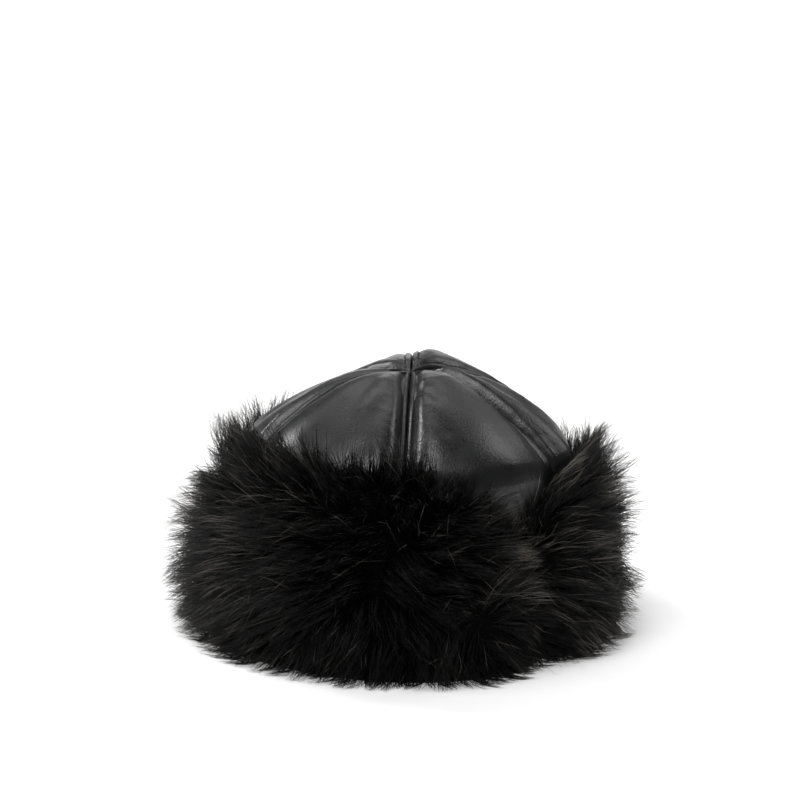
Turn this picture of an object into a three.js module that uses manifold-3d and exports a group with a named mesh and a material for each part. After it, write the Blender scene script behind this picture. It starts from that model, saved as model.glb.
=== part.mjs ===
// A trapper hat: a puffed crown of six leather panels, with a front flap and two ear flaps of
// deep faux fur, all folded up against the crown. It stands on its fur on a flat surface.
// Millimetres. The front looks along -Y, +X is the wearer's left, +Z is up, and the crown's
// middle line is the Z axis. Turns are in degrees round the crown, from the front towards +X.

import * as THREE from 'three';
import { mergeVertices } from 'three/addons/utils/BufferGeometryUtils.js';
import Module from 'manifold-3d';

const wasm = await Module();
wasm.setup();
const { Manifold } = wasm;

// Driving dimensions of the leather crown
const crownHalfWidth = 103;
const crownHalfLength = 108;
const crownHeight = 167;
const shoulderHeight = 112;
const rimHeight = 12;
const rimHalfWidth = 87;
const rimHalfLength = 101;
const leatherThickness = 2.4;
const panelPuff = 7;
const puffReach = 36;
const slumpDepth = 6;
const dimpleDepth = 7;
const dimpleRadius = 24;
const seamPucker = 1.2;
const seamAllowance = 3.4;
const tipRadius = 0.9;

// Shapes that have no size: how pointed the dome is, how flat a panel's arch is between its
// seams, how closely a panel's columns gather beside its seams, and how far up the dome the crown
// has slumped most
const domeSharpness = 1.42;
const archFlatness = 2.6;
const columnGather = 0.06;
const slumpPlace = 0.6;

// Driving dimensions of the fur
const flapHeight = 123;
const flapDepth = 32;
const lockLength = 38;
const lockWidth = 22;
const lockThickness = 10;
const lockSpacing = 28;
const lockSink = 5;
const notchTurn = 68;
const notchLean = 7;

// Clearances between pieces that touch on the real hat
const seamClearance = 0.3;
const seatClearance = 0.3;
const flapClearance = 0.3;

// How finely the shapes are divided
const wallRows = 5;
const domeRows = 7;
const panelColumns = 8;
const flapStep = 6;
const lockSides = 3;
const rimSteps = 48;

// The six panels in turn, each with its middle and its own fullness as a share of the puff
const panels = [
  { name: 'crown_panel_front', middle: 0, fullness: 0.85, lean: 0.05 },
  { name: 'crown_panel_front_left', middle: 60, fullness: 1.25, lean: 0.08 },
  { name: 'crown_panel_back_left', middle: 120, fullness: 0.5, lean: -0.05 },
  { name: 'crown_panel_back', middle: 180, fullness: 1.0, lean: 0.04 },
  { name: 'crown_panel_back_right', middle: 240, fullness: 0.5, lean: 0 },
  { name: 'crown_panel_front_right', middle: 300, fullness: 0.5, lean: -0.06 },
];
const panelSpan = 360 / panels.length;

// How the soft crown has slumped round its middle line: sunk in (or below 0, risen) as a share of
// slumpDepth
const crownSlump = [
  { turn: 0, sunk: 0 },
  { turn: 60, sunk: 0 },
  { turn: 90, sunk: 0.4 },
  { turn: 120, sunk: 1 },
  { turn: 150, sunk: -0.4 },
  { turn: 180, sunk: -0.7 },
  { turn: 210, sunk: -1 },
  { turn: 240, sunk: -0.2 },
  { turn: 270, sunk: 0.5 },
  { turn: 300, sunk: 0 },
  { turn: 330, sunk: -0.9 },
  { turn: 360, sunk: 0 },
];

// The fur's undercoat at turns away from the front, the same on both sides. foot, belly and crest
// are how far it stands out from the crown, as shares of flapDepth; top is a share of flapHeight.
const furSections = [
  { turn: 0, foot: 0.88, belly: 1.0, crest: 0.25, top: 1.0 },
  { turn: 30, foot: 0.93, belly: 1.02, crest: 0.27, top: 1.0 },
  { turn: 44, foot: 0.92, belly: 1.0, crest: 0.24, top: 0.92 },
  { turn: 54, foot: 0.9, belly: 0.93, crest: 0.2, top: 0.81 },
  { turn: 62, foot: 0.82, belly: 0.76, crest: 0.15, top: 0.72 },
  { turn: 68, foot: 0.64, belly: 0.58, crest: 0.14, top: 0.67 },
  { turn: 73, foot: 0.52, belly: 0.68, crest: 0.2, top: 0.73 },
  { turn: 80, foot: 0.82, belly: 0.96, crest: 0.28, top: 0.86 },
  { turn: 92, foot: 0.92, belly: 1.08, crest: 0.36, top: 0.96 },
  { turn: 104, foot: 0.93, belly: 1.1, crest: 0.4, top: 0.98 },
  { turn: 125, foot: 0.93, belly: 1.06, crest: 0.36, top: 0.9 },
  { turn: 150, foot: 0.9, belly: 1.0, crest: 0.3, top: 0.83 },
  { turn: 180, foot: 0.88, belly: 0.97, crest: 0.28, top: 0.8 },
];
// The right ear flap stands lower than the left one by this share, which fades at both its ends
const rightEarDrop = 0.1;

// The undercoat's upright outline: out goes from foot (0) to belly (1), or from crest (2) to
// belly (1), and up is a share of the section's height
const furOutline = [
  { out: 0, up: 0 },
  { out: 0.6, up: 0.08 },
  { out: 0.95, up: 0.24 },
  { out: 1, up: 0.44 },
  { out: 1.2, up: 0.64 },
  { out: 1.52, up: 0.82 },
  { out: 1.82, up: 0.94 },
  { out: 2.1, up: 1 },
];
// The undercoat's crest is this wide on top, and drops by this share on its way to the crown
const crestWidth = 9;
const crestDrop = 0.05;

// Rows of fur locks up the flap. up is where a row grows, lift is how far its locks point up along
// the fur (in degrees, down is negative), size is a share of a lock's length and width, and shift
// moves the row sideways by a share of the spacing.
const lockRows = [
  { up: 0.13, lift: -48, size: 0.8, shift: 0 },
  { up: 0.33, lift: -14, size: 1, shift: 0.5 },
  { up: 0.54, lift: 12, size: 1, shift: 0.2 },
  { up: 0.75, lift: 42, size: 0.95, shift: 0.7 },
  { up: 0.92, lift: 74, size: 0.72, shift: 0.4 },
];
// The fur parts at a turn, stands out there in shorter locks, and lies over sideways on both
// sides of it, less so at the middle of the back
const partingTurn = 24;
const sweepWidth = 36;
const lockStanding = 0.45;
const partingStanding = 0.6;
const partingRise = 0.5;
const partingShrink = 0.25;
const backSweep = 0.35;
// How much the locks differ: in place along and across their row, in lift (degrees) and in size
const placeSpread = 0.3;
const rowSpread = 0.07;
const liftSpread = 26;
const sizeSpread = 0.3;
// A row's first lock stands this share of the spacing in from the flap's end, and a shifted row's
// locks stand further along by at most shiftReach of it
const firstLock = 0.2;
const shiftReach = 0.6;
// One lock from root to tip: how far along it a section is, how much of its standing away from the
// fur is left there, and how wide it is
const lockShape = [
  { along: 0.35, stand: 0.85, wide: 1 },
  { along: 0.7, stand: 0.7, wide: 0.62 },
  { along: 1, stand: 0.6, wide: 0 },
];
// Seeds that make each row, lock and kind of spread differ
const rowSeed = 97;
const lockSeed = 13;
const upSeed = 0.7;
const liftSeed = 0.5;
const sizeSeed = 0.3;

// The three flaps, from a turn to a turn, which meet at the notches and at the middle of the back
const flaps = [
  { name: 'front_flap', from: -notchTurn, to: notchTurn, leanFrom: notchLean, leanTo: notchLean },
  { name: 'ear_flap_left', from: notchTurn, to: 180, leanFrom: -notchLean, leanTo: 0 },
  { name: 'ear_flap_right', from: 180, to: 360 - notchTurn, leanFrom: 0, leanTo: -notchLean },
];

const leather = new THREE.MeshStandardMaterial({ color: 0x17181a, roughness: 0.38, metalness: 0 });
const fauxFur = new THREE.MeshStandardMaterial({ color: 0x14120f, roughness: 0.9, metalness: 0 });

const radians = THREE.MathUtils.degToRad;

// A value read smoothly from a table at a place in one of its columns
function fromTable(table, key, place, column) {
  const last = table.length - 1;
  if (place <= table[0][key]) return table[0][column];
  if (place >= table[last][key]) return table[last][column];
  const next = table.findIndex((row) => row[key] >= place);
  const a = table[next - 1];
  const b = table[next];
  const share = (place - a[key]) / (b[key] - a[key]);
  const eased = share * share * (3 - 2 * share);
  return a[column] + (b[column] - a[column]) * eased;
}

// The same number between 0 and 1 for the same seed, to vary the locks
function varied(seed) {
  const wave = Math.sin(seed * 12.9898 + 4.1) * 43758.5453;
  return wave - Math.floor(wave);
}

// The direction straight out from the middle line at a turn
function outward(turn) {
  return new THREE.Vector3(Math.sin(radians(turn)), -Math.cos(radians(turn)), 0);
}

// The crown's plain upright profile at a row: half width, half length and height
function crownProfile(row) {
  if (row <= wallRows) {
    const rise = row / wallRows;
    const swell = Math.sin((rise * Math.PI) / 2);
    return {
      width: rimHalfWidth + (crownHalfWidth - rimHalfWidth) * swell,
      length: rimHalfLength + (crownHalfLength - rimHalfLength) * swell,
      height: rimHeight + (shoulderHeight - rimHeight) * rise,
    };
  }
  const tipReach = tipRadius / crownHalfWidth;
  const tipAngle = Math.asin(Math.pow(tipReach, 1 / domeSharpness));
  const share = (row - wallRows) / domeRows;
  const angle = Math.PI / 2 + (tipAngle - Math.PI / 2) * share;
  const reach = Math.pow(Math.sin(angle), domeSharpness);
  const rise = Math.pow(Math.max(Math.cos(angle), 0), domeSharpness);
  const dimple = Math.exp(-Math.pow((reach * crownHalfWidth) / dimpleRadius, 2));
  return {
    width: crownHalfWidth * reach,
    length: crownHalfLength * reach,
    height: shoulderHeight + (crownHeight - shoulderHeight) * rise - dimpleDepth * dimple,
  };
}

// How far the crown has slumped at a turn and row. It fades out at the tip and half way down the
// wall.
function slump(turn, row) {
  const worst = wallRows + domeRows * slumpPlace;
  const lowest = wallRows / 2;
  const highest = wallRows + domeRows;
  const share = row < worst ? (row - lowest) / (worst - lowest) : (highest - row) / (highest - worst);
  const fade = Math.pow(Math.sin((THREE.MathUtils.clamp(share, 0, 1) * Math.PI) / 2), 2);
  const round = THREE.MathUtils.euclideanModulo(turn, 360);
  return slumpDepth * fromTable(crownSlump, 'turn', round, 'sunk') * fade;
}

// A point of the crown without its panels' puff, and the way straight out of its surface there
function crownPoint(turn, row) {
  const { width, length, height } = crownProfile(row);
  const away = outward(turn);
  const inwards = new THREE.Vector3(-away.x, -away.y, -1).normalize();
  const plain = new THREE.Vector3(width * away.x, length * away.y, height);
  return plain.addScaledVector(inwards, slump(turn, row));
}
function crownNormal(turn, row) {
  const rowNudge = 0.3;
  const turnNudge = 1;
  const lower = Math.max(row - rowNudge, 0);
  const upper = Math.min(row + rowNudge, wallRows + domeRows);
  const along = crownPoint(turn, upper).sub(crownPoint(turn, lower));
  const around = crownPoint(turn + turnNudge, row).sub(crownPoint(turn - turnNudge, row));
  return around.cross(along).normalize();
}

// How far a panel's outside stands off the plain crown: the puff between its seams, and the
// pucker where the seam pulls it in
function panelRise(panel, across, row) {
  const { width } = crownProfile(row);
  const upright = Math.min(row / wallRows, 1);
  const puffFade = Math.min(width / puffReach, 1);
  const puckerFade = Math.min(width / dimpleRadius, 1);
  const skewed = across + panel.lean * (1 - Math.pow(2 * across - 1, 2));
  const arch = 1 - Math.pow(Math.abs(2 * skewed - 1), archFlatness);
  const fromSeam = Math.min(across, 1 - across) * width * radians(panelSpan);
  const pucker = seamPucker * Math.exp(-fromSeam / seamAllowance);
  return panelPuff * panel.fullness * arch * upright * puffFade - pucker * puckerFade;
}

// A point of a panel, stood off its outside by a distance along the crown's normal
function panelPoint(panel, across, row, standOff) {
  const turn = panel.middle + (across - 0.5) * panelSpan;
  const normal = crownNormal(turn, row);
  return crownPoint(turn, row).addScaledVector(normal, panelRise(panel, across, row) + standOff);
}

// Where a panel's columns stand across it, closer together beside its seams
function columnShare(column) {
  const even = column / panelColumns;
  return even - columnGather * Math.sin(2 * Math.PI * even);
}

// A closed mesh from rings of points, each ring the same number of points, with both end rings
// filled by triangles
function closedLoft(rings, fillStart, fillEnd) {
  const count = rings[0].length;
  const positions = rings.flat().flatMap((point) => [point.x, point.y, point.z]);
  const faces = [];
  for (let ring = 0; ring + 1 < rings.length; ring += 1) {
    for (let side = 0; side < count; side += 1) {
      const a = ring * count + side;
      const b = ring * count + ((side + 1) % count);
      faces.push(a, b, b + count, a, b + count, a + count);
    }
  }
  const lastStart = (rings.length - 1) * count;
  for (const [a, b, c] of fillStart) faces.push(a, c, b);
  for (const [a, b, c] of fillEnd) faces.push(lastStart + a, lastStart + b, lastStart + c);
  const geometry = new THREE.BufferGeometry();
  geometry.setAttribute('position', new THREE.Float32BufferAttribute(positions, 3));
  geometry.setIndex(faces);
  return geometry;
}

// A ring filled as a strip between its first and second half, for a ring that is a flat band
function bandFill(count) {
  const half = count / 2;
  const faces = [];
  for (let side = 0; side + 1 < half; side += 1) {
    const far = count - 1 - side;
    faces.push([side, side + 1, far - 1], [side, far - 1, far]);
  }
  return faces;
}

// A ring filled as a fan from its first point
function fanFill(count) {
  return Array.from({ length: count - 2 }, (_, side) => [0, side + 1, side + 2]);
}

function toManifold(geometry) {
  const merged = mergeVertices(geometry, 1e-4);
  return new Manifold(new wasm.Mesh({
    numProp: 3,
    vertProperties: new Float32Array(merged.attributes.position.array),
    triVerts: new Uint32Array(merged.index.array),
  }));
}

function toGeometry(solid) {
  const mesh = solid.getMesh();
  const geometry = new THREE.BufferGeometry();
  geometry.setAttribute('position', new THREE.Float32BufferAttribute(mesh.vertProperties, 3));
  geometry.setIndex(Array.from(mesh.triVerts));
  return geometry;
}

// Leather panel: one puffed gore from the rim to the crown's tip
function panelGeometry(panel) {
  const rings = [];
  for (let row = 0; row <= wallRows + domeRows; row += 1) {
    const outside = [];
    const inside = [];
    for (let column = 0; column <= panelColumns; column += 1) {
      const across = columnShare(column);
      const turn = panel.middle + (across - 0.5) * panelSpan;
      const side = outward(turn + 90);
      const fromSeam = column === 0 ? 1 : column === panelColumns ? -1 : 0;
      const shift = side.multiplyScalar((fromSeam * seamClearance) / 2);
      outside.push(panelPoint(panel, across, row, 0).add(shift));
      inside.unshift(panelPoint(panel, across, row, -leatherThickness).add(shift));
    }
    rings.push([...outside, ...inside]);
  }
  const fill = bandFill(rings[0].length);
  return closedLoft(rings, fill, fill);
}

// Everything that the crown fills, with the clearance of what lies against it
function crownRoom() {
  const rings = [];
  for (let row = 0; row <= wallRows + domeRows; row += 1) {
    const ring = panels.flatMap((panel) => {
      const points = [];
      for (let column = 0; column < panelColumns; column += 1) {
        points.push(panelPoint(panel, columnShare(column), row, seatClearance));
      }
      return points;
    });
    rings.push(ring);
  }
  const under = rings[0].map((point) => point.clone().setZ(rimHeight - seatClearance));
  const fill = fanFill(under.length);
  return toManifold(closedLoft([under, ...rings], fill, fill));
}

// The way in for the head, below the crown's rim
function headRoom() {
  const turns = Array.from({ length: rimSteps }, (_, step) => (step * 360) / rimSteps);
  const ring = (height) => turns.map((turn) => {
    const away = outward(turn);
    const width = rimHalfWidth - leatherThickness;
    const length = rimHalfLength - leatherThickness;
    return new THREE.Vector3(width * away.x, length * away.y, height);
  });
  const fill = fanFill(turns.length);
  return toManifold(closedLoft([ring(-flapDepth), ring(rimHeight + seatClearance)], fill, fill));
}

// The undercoat's outline at a turn: how far out and how high each of its points is
function furSection(turn) {
  const away = Math.min(Math.abs(turn), Math.abs(360 - turn));
  const direction = outward(turn);
  const crownReach = Math.hypot(crownHalfWidth * direction.x, crownHalfLength * direction.y);
  const read = (column) => fromTable(furSections, 'turn', away, column);
  const reach = (column) => crownReach + flapDepth * read(column);
  const signed = turn > 180 ? turn - 360 : turn;
  const alongEar = THREE.MathUtils.clamp((-signed - notchTurn) / (180 - notchTurn), 0, 1);
  const drop = rightEarDrop * Math.sin(Math.PI * alongEar);
  const height = flapHeight * read('top') * (1 - drop);
  return furOutline.map(({ out, up }) => {
    const start = out <= 1 ? reach('foot') : reach('crest');
    const share = out <= 1 ? out : 2 - out;
    return { out: start + (reach('belly') - start) * share, up: height * up };
  });
}

// A point on the undercoat's outside at a turn and a share of the way up
function furPoint(turn, up) {
  const section = furSection(turn);
  const top = section[section.length - 1].up;
  const out = fromTable(section, 'up', up * top, 'out');
  return outward(turn).multiplyScalar(out).setZ(up * top);
}

// The solid undercoat of a flap between two turns
function undercoat(from, to) {
  const steps = Math.ceil((to - from) / flapStep);
  const rings = [];
  let fill = [];
  for (let step = 0; step <= steps; step += 1) {
    const turn = from + ((to - from) * step) / steps;
    const section = furSection(turn);
    const crest = section[section.length - 1];
    const inner = (rimHalfWidth - leatherThickness) / 2;
    const outline = [
      { out: inner, up: crest.up * (1 - crestDrop) },
      { out: crest.out - crestWidth, up: crest.up * (1 - crestDrop) },
      ...section.reverse(),
      { out: inner, up: 0 },
    ];
    if (step === 0) {
      const flat = outline.map((point) => new THREE.Vector2(point.out, point.up));
      fill = THREE.ShapeUtils.triangulateShape(flat, []).map(([a, b, c]) => [a, c, b]);
    }
    rings.push(outline.map(({ out, up }) => outward(turn).multiplyScalar(out).setZ(up)));
  }
  return toManifold(closedLoft(rings, fill, fill));
}

// The way straight out of the undercoat's outside
function furNormal(turn, up) {
  const nudge = 0.03;
  const along = furPoint(turn, Math.min(up + nudge, 1)).sub(furPoint(turn, up - nudge));
  const around = furPoint(turn + 1, up).sub(furPoint(turn - 1, up));
  return around.cross(along).normalize();
}

// One lock of fur: a flat tapered tuft that leaves the undercoat and lies over it to its tip
function furLock(root, normal, flow, standing, length, width, thickness) {
  const across = new THREE.Vector3().crossVectors(normal, flow).normalize();
  const ring = (middle, direction, wide) => {
    const flat = new THREE.Vector3().crossVectors(direction, across).normalize();
    return Array.from({ length: lockSides }, (_, side) => {
      const angle = Math.PI / 2 + (side * 2 * Math.PI) / lockSides;
      return middle.clone()
        .addScaledVector(across, (Math.cos(angle) * width * wide) / 2)
        .addScaledVector(flat, (Math.sin(angle) * thickness * wide) / 2);
    });
  };
  const leave = flow.clone().addScaledVector(normal, standing).normalize();
  const rings = [ring(root.clone().addScaledVector(leave, -lockSink), leave, 1)];
  for (const { along, stand, wide } of lockShape) {
    const direction = flow.clone().addScaledVector(normal, standing * stand).normalize();
    rings.push(ring(root.clone().addScaledVector(direction, along * length), direction, wide));
  }
  return toManifold(closedLoft(rings, fanFill(lockSides), []));
}

// How far the fur at a turn lies over sideways: -1 to the wearer's right, 1 to the left
function furSweep(turn) {
  const signed = turn > 180 ? turn - 360 : turn;
  const fromBack = Math.min((180 - Math.abs(signed)) / sweepWidth, 1);
  return Math.tanh((signed - partingTurn) / sweepWidth) * (backSweep + (1 - backSweep) * fromBack);
}

// All locks of a flap, row above row
function flapLocks(from, to) {
  const locks = [];
  lockRows.forEach((row, rowIndex) => {
    const spacing = THREE.MathUtils.radToDeg(lockSpacing / (crownHalfWidth + flapDepth));
    const count = Math.round((to - from) / spacing);
    for (let index = 0; index < count; index += 1) {
      const seed = rowIndex * rowSeed + index * lockSeed + from;
      const even = index + firstLock + row.shift * shiftReach;
      const place = even + (varied(seed) - 0.5) * placeSpread;
      const turn = from + (place * (to - from)) / count;
      const up = row.up + (varied(seed + upSeed) - 0.5) * rowSpread;
      const lift = radians(row.lift + (varied(seed + liftSeed) - 0.5) * liftSpread);
      const sweep = furSweep(turn);
      const normal = furNormal(turn, up);
      const side = outward(turn + 90);
      const rising = new THREE.Vector3().crossVectors(normal, side).normalize();
      const level = Math.cos(lift) * (1 - Math.abs(sweep));
      const flow = side.multiplyScalar(Math.cos(lift) * sweep)
        .addScaledVector(rising, Math.sin(lift) + partingRise * level)
        .normalize();
      const spread = 1 + sizeSpread * (varied(seed + sizeSeed) - 0.5);
      const size = row.size * spread * (1 - partingShrink * level);
      const standing = lockStanding * (1 + partingStanding * level);
      locks.push(furLock(furPoint(turn, up), normal, flow, standing, lockLength * size,
        lockWidth * size, lockThickness * size));
    }
  });
  return locks;
}

// Cuts a solid where a flap ends, by a plane that leans out towards the flap's foot
function cutAtTurn(solid, turn, inwards, lean) {
  const middleHeight = flapHeight / 2;
  const normal = inwards.clone().multiplyScalar(Math.cos(radians(lean)))
    .add(new THREE.Vector3(0, 0, -Math.sin(radians(lean))));
  const offset = normal.z * middleHeight + flapClearance / 2;
  return solid.trimByPlane(normal.toArray(), offset);
}

// A flap of fur: undercoat and locks as one body, fitted round the crown, pressed flat on the
// surface it stands on, and cut where it meets the next flap
function flapGeometry({ from, to, leanFrom, leanTo }, cutters) {
  const start = leanFrom === 0 ? from : from - flapStep;
  const end = leanTo === 0 ? to : to + flapStep;
  let solid = Manifold.union([undercoat(start, end), ...flapLocks(from, to)]);
  for (const cutter of cutters) solid = solid.subtract(cutter);
  solid = cutAtTurn(solid, from, outward(from + 90), leanFrom);
  solid = cutAtTurn(solid, to, outward(to - 90), leanTo);
  solid = solid.trimByPlane([0, 0, 1], 0);
  return toGeometry(solid);
}

const hat = new THREE.Group();
for (const panel of panels) {
  const mesh = new THREE.Mesh(panelGeometry(panel), leather);
  mesh.name = panel.name;
  hat.add(mesh);
}
const cutters = [crownRoom(), headRoom()];
for (const flap of flaps) {
  const mesh = new THREE.Mesh(flapGeometry(flap, cutters), fauxFur);
  mesh.name = flap.name;
  hat.add(mesh);
}

export default hat;
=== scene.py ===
import math

import bpy
import numpy as np
from mathutils import Matrix, Vector
from mathutils.geometry import tessellate_polygon
from mathutils.kdtree import KDTree


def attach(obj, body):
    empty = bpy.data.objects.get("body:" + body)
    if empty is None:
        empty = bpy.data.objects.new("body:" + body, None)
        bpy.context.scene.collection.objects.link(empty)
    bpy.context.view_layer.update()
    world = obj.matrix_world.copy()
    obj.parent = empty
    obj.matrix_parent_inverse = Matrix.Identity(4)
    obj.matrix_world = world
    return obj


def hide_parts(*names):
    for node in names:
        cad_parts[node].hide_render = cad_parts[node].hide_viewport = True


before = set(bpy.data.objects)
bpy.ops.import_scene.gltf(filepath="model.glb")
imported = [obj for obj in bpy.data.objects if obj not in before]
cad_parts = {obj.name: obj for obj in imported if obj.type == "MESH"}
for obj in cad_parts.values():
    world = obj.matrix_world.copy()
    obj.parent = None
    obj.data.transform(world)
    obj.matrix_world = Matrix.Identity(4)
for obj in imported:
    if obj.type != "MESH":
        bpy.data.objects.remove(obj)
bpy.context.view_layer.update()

# The looks of a trapper hat: puffed black leather panels with opened, topstitched seams, and three
# flaps of deep black faux fur. Lengths are in metres, turns in degrees from the front towards +X.

MM = 0.001
ROOT = "root"
UP = np.array([0, 0, 1])


def rows_of(names, *rows):
    """A table: rows of values as dictionaries with these names."""
    return [dict(zip(names.split(), row)) for row in rows]


# The crown's sizes, the same as its solids have
CROWN_HALF_WIDTH = 103 * MM
CROWN_HALF_LENGTH = 108 * MM
CROWN_HEIGHT = 167 * MM
SHOULDER_HEIGHT = 112 * MM
RIM_HEIGHT = 12 * MM
RIM_HALF_WIDTH = 87 * MM
RIM_HALF_LENGTH = 101 * MM
LEATHER_THICKNESS = 2.4 * MM
PANEL_PUFF = 7 * MM
PUFF_REACH = 36 * MM
SLUMP_DEPTH = 6 * MM
DOME_SHARPNESS = 1.42
ARCH_FLATNESS = 2.6
SLUMP_START = 0.5
SLUMP_PLACE = 1.6
# Softer and tighter than the solids: the dimple where the panels meet, the shoulder's rounding (in
# rows, and how much each place beside a row counts in it) and the gap between the panels
DIMPLE_DEPTH = 5.5 * MM
DIMPLE_RADIUS = 21 * MM
SHOULDER_SOFTNESS = 0.16
SHOULDER_REACH = 0.3
SHOULDER_WEIGHTS = {-1: 1, -0.5: 2, 0: 3, 0.5: 2, 1: 1}
TIP_RADIUS = 0.3 * MM
SEAM_GAP = 0.16 * MM

# fullness is a panel's share of the puff, and lean is how far its highest line stands to one side
PANELS = rows_of(
    "name middle fullness lean",
    ("front", 0, 0.85, 0.05),
    ("front_left", 60, 1.25, 0.08),
    ("back_left", 120, 0.5, -0.05),
    ("back", 180, 1, 0.04),
    ("back_right", 240, 0.5, 0),
    ("front_right", 300, 0.5, -0.06),
)
PANEL_SPAN = 360 / len(PANELS)
PANEL_ANGLE = math.radians(PANEL_SPAN)
CROWN_SLUMP = rows_of(
    "turn sunk",
    (0, 0), (60, 0), (90, 0.4), (120, 1), (150, -0.4), (180, -0.7),
    (210, -1), (240, -0.2), (270, 0.5), (300, 0), (330, -0.9), (360, 0),
)
# The panels' points: rows up the wall and over the dome, columns between the seams, and every how
# many of the outer points there is one inside
WALL_ROWS = 16
DOME_ROWS = 112
MIDDLE_COLUMNS = 19
INNER_STEP = 4

# The opened seam: a sunk bed, two turned-in edges that lie in it like flat cords, and a row of
# topstitching along the outer side of each. SEAM_COLUMNS are the places beside it that get points.
SEAM_COLUMNS = np.array([0, 0.12, 0.3, 0.5, 0.8, 1.2, 1.6, 2, 2.4, 2.8, 3.1, 3.3, 3.5, 3.7, 4, 4.5,
                         5.2, 6, 7, 8.3, 10]) * MM
SEAM_SHARE = 0.42
BED_DEPTH = 2.4 * MM
BED_HALF_WIDTH = 3.7 * MM
BANK_WIDTH = 4.6 * MM
GROOVE_DEPTH = 0.5 * MM
GROOVE_WIDTH = 0.3 * MM
EDGE_RISE = 1.15 * MM
EDGE_PLACE = 1.75 * MM
EDGE_HALF_WIDTH = 1.65 * MM
STITCH_PLACE = 3.5 * MM
STITCH_DIP = 1.1 * MM
STITCH_DIP_WIDTH = 0.55 * MM
STITCH_PULL = 0.3
STITCH_PITCH = 3.3 * MM
STITCH_LENGTH = 2.5 * MM
THREAD_RADIUS = 0.34 * MM
SEAM_FADE = 12 * MM
EDGE_FADE = 5 * MM
RIM_FADE = 0.5
SEAM_BLEND = 0.35
# How deep each seam is drawn in beside the others, and how high its two edges stand, by the turn
# that it runs at
SEAM_DRAW = {30: 1, 90: 2.8, 150: 0.6, 210: 0.3, 270: 0.8, 330: 0.85}
SEAM_EDGES = {30: 1, 90: 0.4, 150: 1, 210: 1, 270: 1, 330: 1}
# Small gathers on each side of a seam, and broad shallow swells all over, in waves (metres)
GATHER_HEIGHT = 0.3 * MM
GATHER_START = 2 * MM
GATHER_REACH = 11 * MM
GATHER_LEAN = 0.4
GATHER_WAVES = ((0.009, 0.0137, 0.021), (0.0083, 0.0149, 0.024))
SWELL_HEIGHT = 0.5 * MM
SWELL_LEANS = (0.35, -0.3)
SWELL_WAVES = ((0.047, 0.031), (0.061, 0.043))
# A stitch from end to end, in shares of its length and its thread's radius, and the rows it stands in
STITCH_SHAPE = rows_of(
    "along thick stand",
    (-0.5, 0.15, -0.9), (-0.42, 0.8, -0.2), (0, 1, 0.35), (0.42, 0.8, -0.2), (0.5, 0.15, -0.9),
)
STITCH_ROWS = (0.55, 1.9)
STITCH_ROOM = 0.45
THREAD_SIDES = 6

# Folds, dents and rolls of the soft leather: from one place of a panel (across, row) to another, the
# height (below 0 for a dent) and the width in millimetres
FOLDS = {
    "front": [
        ((0.84, 1.6), (0.88, 0.9), 2.2, 8),
        ((0.8, 1.84), (0.62, 1.5), 0.9, 6),
        ((0.86, 1.75), (0.76, 1.3), -0.9, 7),
        ((0.33, 1.62), (0.27, 1.2), 0.7, 11),
        ((0.12, 1.75), (0.1, 1.3), -0.5, 7),
    ],
    "front_left": [
        ((0.24, 1.63), (0.27, 1.57), -1.2, 5),
        ((0.16, 1.5), (0.26, 1.36), -0.5, 3.5),
        ((0.14, 1.56), (0.12, 0.9), 1.6, 8),
        ((0.82, 1.74), (0.88, 0.85), 1.5, 7),
    ],
    "back_left": [
        ((0.26, 1.78), (0.17, 0.85), 6, 9),
        ((0.6, 1.6), (0.5, 1.2), -1, 12),
        ((0.85, 1.6), (0.88, 1.2), 0.9, 8),
    ],
    "back": [
        ((1, 1.84), (1, 1.6), 4, 15),
        ((0.3, 1.7), (0.35, 1.2), -1.1, 11),
        ((0.7, 1.75), (0.62, 1.3), 0.8, 9),
    ],
    "back_right": [
        ((0, 1.84), (0, 1.6), 4, 15),
        ((0.8, 1.7), (0.7, 1.2), 1, 10),
        ((0.35, 1.6), (0.3, 1.25), -0.9, 9),
    ],
    "front_right": [
        ((0.9, 1.6), (0.92, 1.2), 1.2, 5),
        ((0.55, 1.6), (0.6, 1.2), -0.8, 10),
    ],
}
# Patches of fine crackle, where the leather has been bent: place and reach in millimetres
CRACKLES = {
    "front": [((0.3, 1.52), 8), ((0.88, 1.25), 10)],
    "front_left": [((0.38, 1.57), 6), ((0.2, 1.46), 9), ((0.12, 1.34), 9)],
    "back_left": [((0.3, 1.7), 7), ((0.14, 1.36), 9)],
    "back": [((0.45, 1.6), 8)],
    "back_right": [((0.6, 1.5), 9)],
    "front_right": [],
}

# The fur's sizes, the same as its solids have
FLAP_HEIGHT = 123 * MM
FLAP_DEPTH = 32 * MM
CREST_WIDTH = 9 * MM
CREST_DROP = 0.05
NOTCH_TURN = 68
NOTCH_LEAN = 7
RIGHT_EAR_DROP = 0.1
FUR_SECTIONS = rows_of(
    "turn foot belly crest top",
    (0, 0.88, 1, 0.25, 1),
    (30, 0.93, 1.02, 0.27, 1),
    (44, 0.92, 1, 0.24, 0.92),
    (54, 0.9, 0.93, 0.2, 0.81),
    (62, 0.82, 0.76, 0.15, 0.72),
    (68, 0.64, 0.58, 0.14, 0.67),
    (73, 0.52, 0.68, 0.2, 0.73),
    (80, 0.82, 0.96, 0.28, 0.86),
    (92, 0.92, 1.08, 0.36, 0.96),
    (104, 0.93, 1.1, 0.4, 0.98),
    (125, 0.93, 1.06, 0.36, 0.9),
    (150, 0.9, 1, 0.3, 0.83),
    (180, 0.88, 0.97, 0.28, 0.8),
)
FUR_OUTLINE = rows_of(
    "out up",
    (0, 0), (0.6, 0.08), (0.95, 0.24), (1, 0.44), (1.2, 0.64), (1.52, 0.82), (1.82, 0.94), (2.1, 1),
)
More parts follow.
